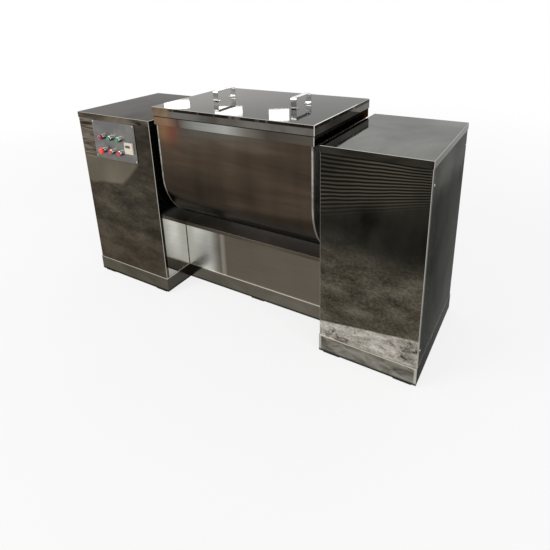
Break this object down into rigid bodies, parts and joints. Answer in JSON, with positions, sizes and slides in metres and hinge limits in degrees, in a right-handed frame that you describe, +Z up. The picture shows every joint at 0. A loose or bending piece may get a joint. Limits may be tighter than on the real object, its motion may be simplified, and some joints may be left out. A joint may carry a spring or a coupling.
{
  "type": "ribbon blender",
  "caption": "Floor-standing tilting trough ribbon blender: U trough with a lift-off lid between two cabinets, ribbon agitator, control panel.",
  "frame": {"origin": "on the floor under the middle of the machine", "axes": "+X along the machine from the drive cabinet to the tilt cabinet, front faces -Y, +Z up"},
  "size_m": [1.951, 0.68, 1.129],
  "materials": {
    "mirror_steel": "mirror polished stainless sheet",
    "satin_steel": "stainless with a fine linear polish",
    "plinth_steel": "polished stainless strip",
    "control_plate_steel": "satin stainless plate",
    "machined_steel": "turned and milled stainless",
    "fastener_steel": "plain stainless fasteners",
    "frame_steel": "grey primer on square tube and plate",
    "bearing_iron": "painted cast bearing housing",
    "reducer_iron": "painted cast gear housing",
    "pulley_iron": "turned cast iron",
    "motor_aluminium": "painted die cast aluminium",
    "box_paint": "powder coated sheet steel",
    "rubber": "black rubber",
    "black_plastic": "moulded black plastic",
    "bezel_chrome": "bright plated ring",
    "lamp_red": "dark red translucent lens",
    "green_cap": "green moulded cap",
    "red_cap": "red moulded cap",
    "estop_red": "red moulded mushroom head",
    "timer_plastic": "cream moulded bezel with a dark window"
  },
  "bodies": {
    "frame": {"base_frame": "frame_steel", "foot_pads": "rubber", "left_front_panel": "mirror_steel", "left_side_panel": "mirror_steel", "left_inner_wall": "mirror_steel", "left_rear_panel": "mirror_steel", "left_top_cover": "mirror_steel", "right_front_panel": "mirror_steel", "right_side_panel": "mirror_steel", "right_inner_wall": "mirror_steel", "right_rear_panel": "mirror_steel", "right_top_cover": "mirror_steel", "bay_front_panel": "satin_steel", "bay_rear_panel": "satin_steel", "bay_deck": "satin_steel", "plinth": "plinth_steel", "panel_screws": "fastener_steel", "control_plate": "control_plate_steel", "button_bezels": "bezel_chrome", "power_lamp": "lamp_red", "timer": "timer_plastic", "contact_blocks": "black_plastic", "control_box": "box_paint", "cable_gland": "black_plastic", "support_plates": "frame_steel", "trunnion_bearings": "bearing_iron", "main_reducer": "reducer_iron", "reducer_bracket": "frame_steel", "main_motor": "motor_aluminium", "drive_belt": "rubber", "tilt_gearbox": "reducer_iron", "tilt_motor": "motor_aluminium", "tilt_bracket": "frame_steel", "end_bearing_bracket": "frame_steel", "agitator_end_bearing": "bearing_iron"},
    "trough": {"trough_shell": "satin_steel", "trough_left_end": "satin_steel", "trough_right_end": "satin_steel", "trough_rim": "satin_steel", "trunnions": "machined_steel", "trunnion_bolts": "fastener_steel", "shaft_glands": "machined_steel", "tilt_gear": "machined_steel"},
    "lid": {"lid": "mirror_steel", "lid_gasket": "rubber", "lid_handles": "mirror_steel"},
    "agitator": {"agitator_shaft": "machined_steel", "outer_ribbon": "satin_steel", "inner_ribbon": "satin_steel", "ribbon_spokes": "machined_steel"},
    "mix_start_button": {"mix_start_button": "green_cap"},
    "tilt_start_button": {"tilt_start_button": "green_cap"},
    "mix_stop_button": {"mix_stop_button": "red_cap"},
    "tilt_return_button": {"tilt_return_button": "red_cap"},
    "estop_stem": {"estop_stem": "black_plastic"},
    "estop_head": {"estop_head": "estop_red"},
    "motor_pulley": {"motor_pulley": "pulley_iron"},
    "reducer_pulley": {"reducer_pulley": "pulley_iron"},
    "tilt_pinion": {"tilt_pinion": "machined_steel"}
  },
  "joints": [
    {"name": "trough_tilt", "type": "hinge", "parent": "frame", "child": "trough", "pos_m": [0, 0, 0.708], "axis": [1, 0, 0], "range_deg": [0, 105]},
    {"name": "lid_lift", "type": "slide", "parent": "trough", "child": "lid", "axis": [0, 0, 1], "range_m": [0, 0.35]},
    {"name": "agitator_spin", "type": "hinge", "parent": "frame", "child": "agitator", "pos_m": [0, 0, 0.708], "axis": [1, 0, 0], "continuous": true},
    {"name": "reducer_spin", "type": "hinge", "parent": "frame", "child": "reducer_pulley", "pos_m": [-0.58, 0, 0.608], "axis": [0, 1, 0], "continuous": true},
    {"name": "motor_spin", "type": "hinge", "parent": "frame", "child": "motor_pulley", "pos_m": [-0.695, 0, 0.138], "axis": [0, 1, 0], "continuous": true},
    {"name": "pinion_spin", "type": "hinge", "parent": "frame", "child": "tilt_pinion", "pos_m": [0, -0.11314, 0.59486], "axis": [1, 0, 0], "range_deg": [-320, 5]},
    {"name": "mix_start_press", "type": "slide", "parent": "frame", "child": "mix_start_button", "axis": [0, 1, 0], "range_m": [0, 0.004], "stiffness_N_per_m": 400},
    {"name": "tilt_start_press", "type": "slide", "parent": "frame", "child": "tilt_start_button", "axis": [0, 1, 0], "range_m": [0, 0.004], "stiffness_N_per_m": 400},
    {"name": "mix_stop_press", "type": "slide", "parent": "frame", "child": "mix_stop_button", "axis": [0, 1, 0], "range_m": [0, 0.004], "stiffness_N_per_m": 400},
    {"name": "tilt_return_press", "type": "slide", "parent": "frame", "child": "tilt_return_button", "axis": [0, 1, 0], "range_m": [0, 0.004], "stiffness_N_per_m": 400},
    {"name": "estop_press", "type": "slide", "parent": "frame", "child": "estop_stem", "axis": [0, 1, 0], "range_m": [0, 0.005], "stiffness_N_per_m": 600},
    {"name": "estop_twist", "type": "hinge", "parent": "estop_stem", "child": "estop_head", "pos_m": [-0.785, 0, 0.803], "axis": [0, 1, 0], "range_deg": [0, 45], "stiffness_Nm_per_rad": 0.1}
  ],
  "couplings": [
    {"joint": "reducer_spin", "follows": "agitator_spin", "ratio": 20},
    {"joint": "motor_spin", "follows": "agitator_spin", "ratio": 40},
    {"joint": "pinion_spin", "follows": "trough_tilt", "ratio": -3}
  ]
}
